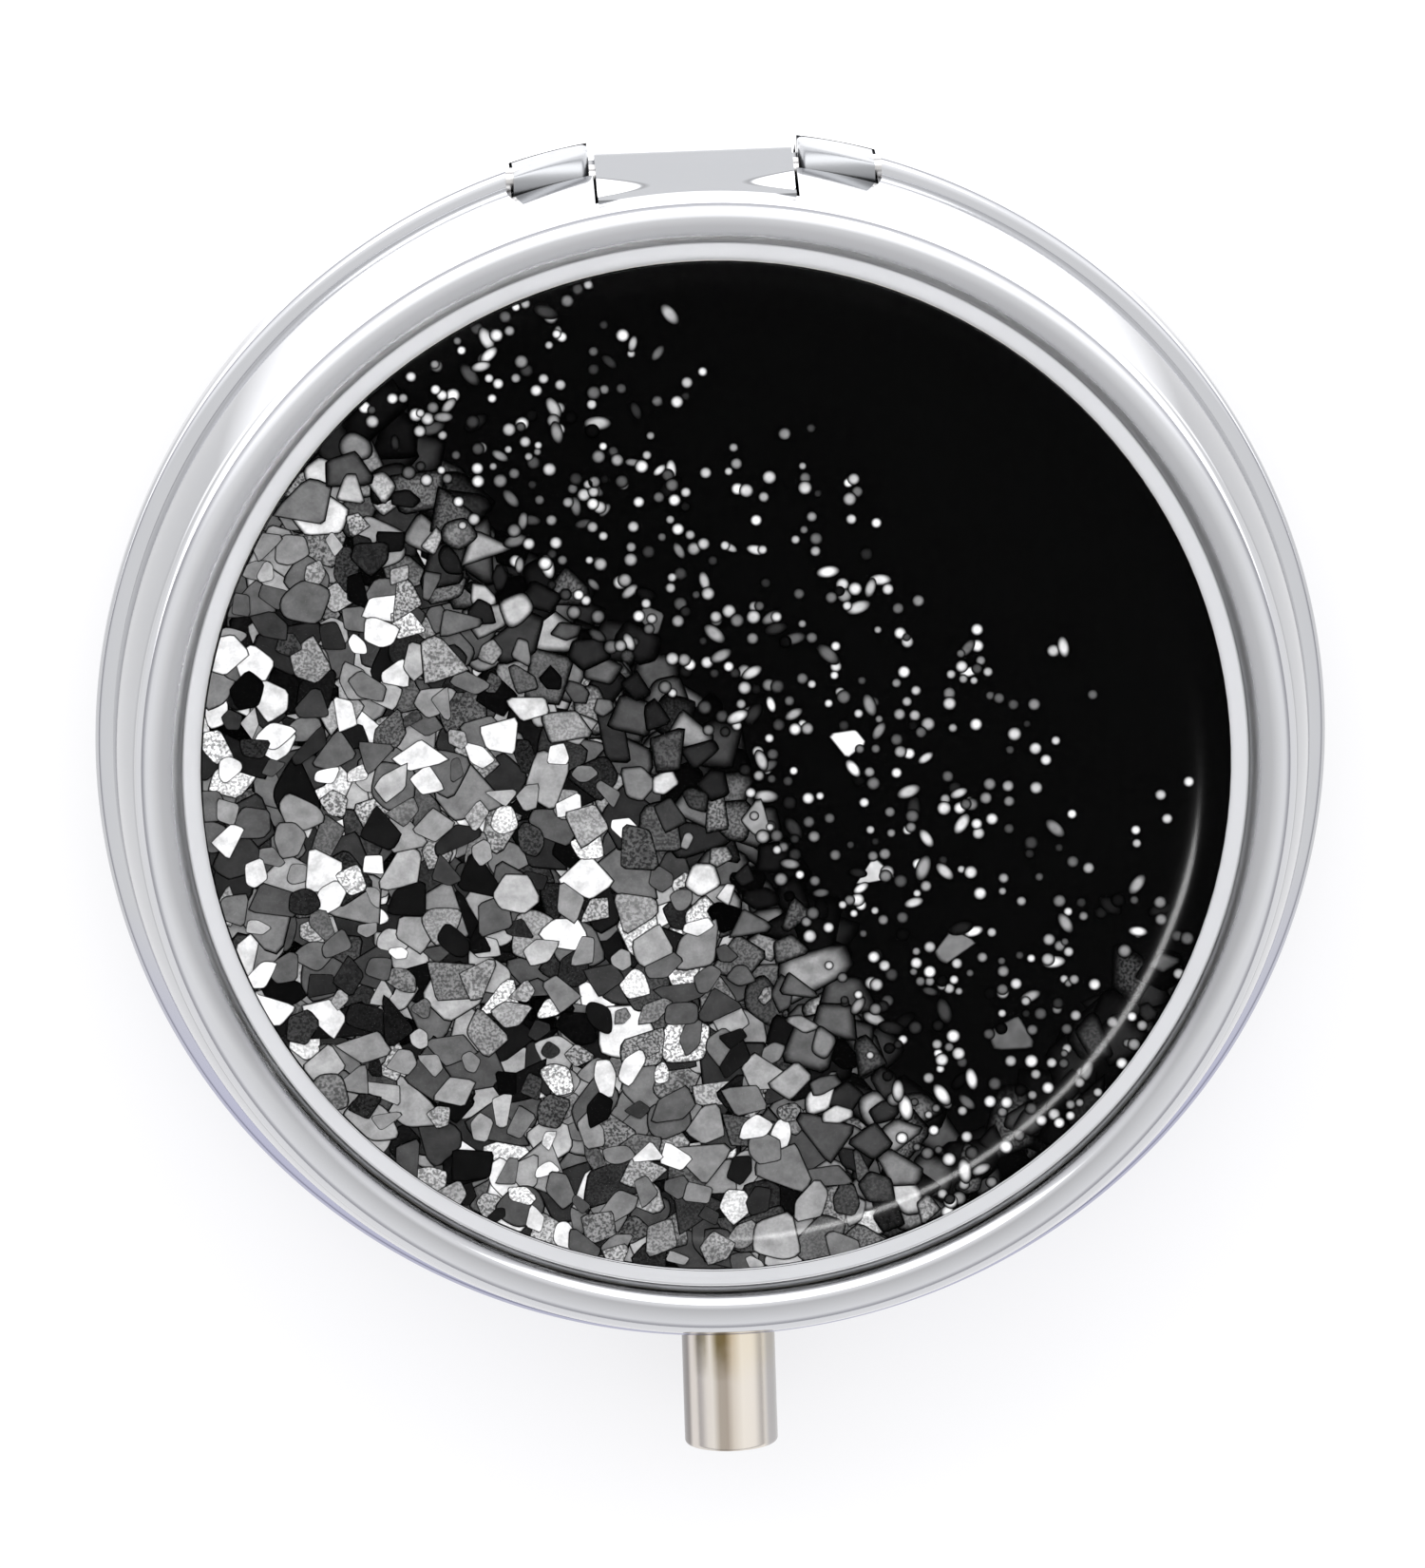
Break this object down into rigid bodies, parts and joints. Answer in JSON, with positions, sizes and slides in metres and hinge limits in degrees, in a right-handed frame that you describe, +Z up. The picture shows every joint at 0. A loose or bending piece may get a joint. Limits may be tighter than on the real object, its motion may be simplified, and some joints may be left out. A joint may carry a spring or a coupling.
{
  "type": "eyeshadow palette",
  "caption": "Round hinged metal compact with a push-button latch, mirrored lid under a domed printed disc, and pressed powder pans in a moulded tray.",
  "frame": {"origin": "centre of the flat foot the case stands on", "axes": "+Z up through the lid, +Y towards the hinge, -Y towards the release button, +X to the right seen from the button"},
  "size_m": [0.05, 0.0552, 0.0138],
  "materials": {
    "bright_chrome": "bright chrome plate with fine handling marks",
    "warm_nickel": "bright nickel plate, slightly warm",
    "steel": "plain zinc-plated steel",
    "black_plastic": "gloss moulded",
    "aluminium": "drawn, satin",
    "powder_champagne": "pressed shimmer powder",
    "powder_rose": "pressed matt powder",
    "powder_plum": "pressed shimmer powder",
    "clear_glue": "clear adhesive",
    "mirror": "silvered glass",
    "foam": "white foam tape",
    "printed_film": "black film with silver glitter",
    "clear_resin": "clear domed resin"
  },
  "bodies": {
    "base": {"base_shell": "bright_chrome", "base_hinge_leaf": "bright_chrome", "hinge_pin": "steel", "latch_bracket": "steel", "return_spring": "steel", "tray": "black_plastic", "pan_rear": "aluminium", "pan_left": "aluminium", "pan_right": "aluminium", "powder_rear": "powder_champagne", "powder_left": "powder_rose", "powder_right": "powder_plum", "glue_rear": "clear_glue", "glue_left": "clear_glue", "glue_right": "clear_glue"},
    "lid": {"lid_shell": "bright_chrome", "lid_hinge_leaf": "bright_chrome", "lid_catch": "steel", "mirror_bezel": "black_plastic", "mirror": "mirror", "mirror_pad": "foam", "decal_adhesive": "clear_glue", "decal_print": "printed_film", "decal_dome": "clear_resin"},
    "button": {"button_cap": "warm_nickel", "button_stem": "steel", "latch_catch": "steel", "retaining_clip": "steel"}
  },
  "joints": [
    {"name": "lid_hinge", "type": "hinge", "parent": "base", "child": "lid", "pos_m": [0, 0.0235, 0.0076], "axis": [-1, 0, 0], "range_deg": [0, 100]},
    {"name": "button_press", "type": "slide", "parent": "base", "child": "button", "axis": [0, 1, 0], "range_m": [0, 0.0013], "stiffness_N_per_m": 900, "springref_m": -0.0006, "deforming": ["return_spring"]}
  ]
}
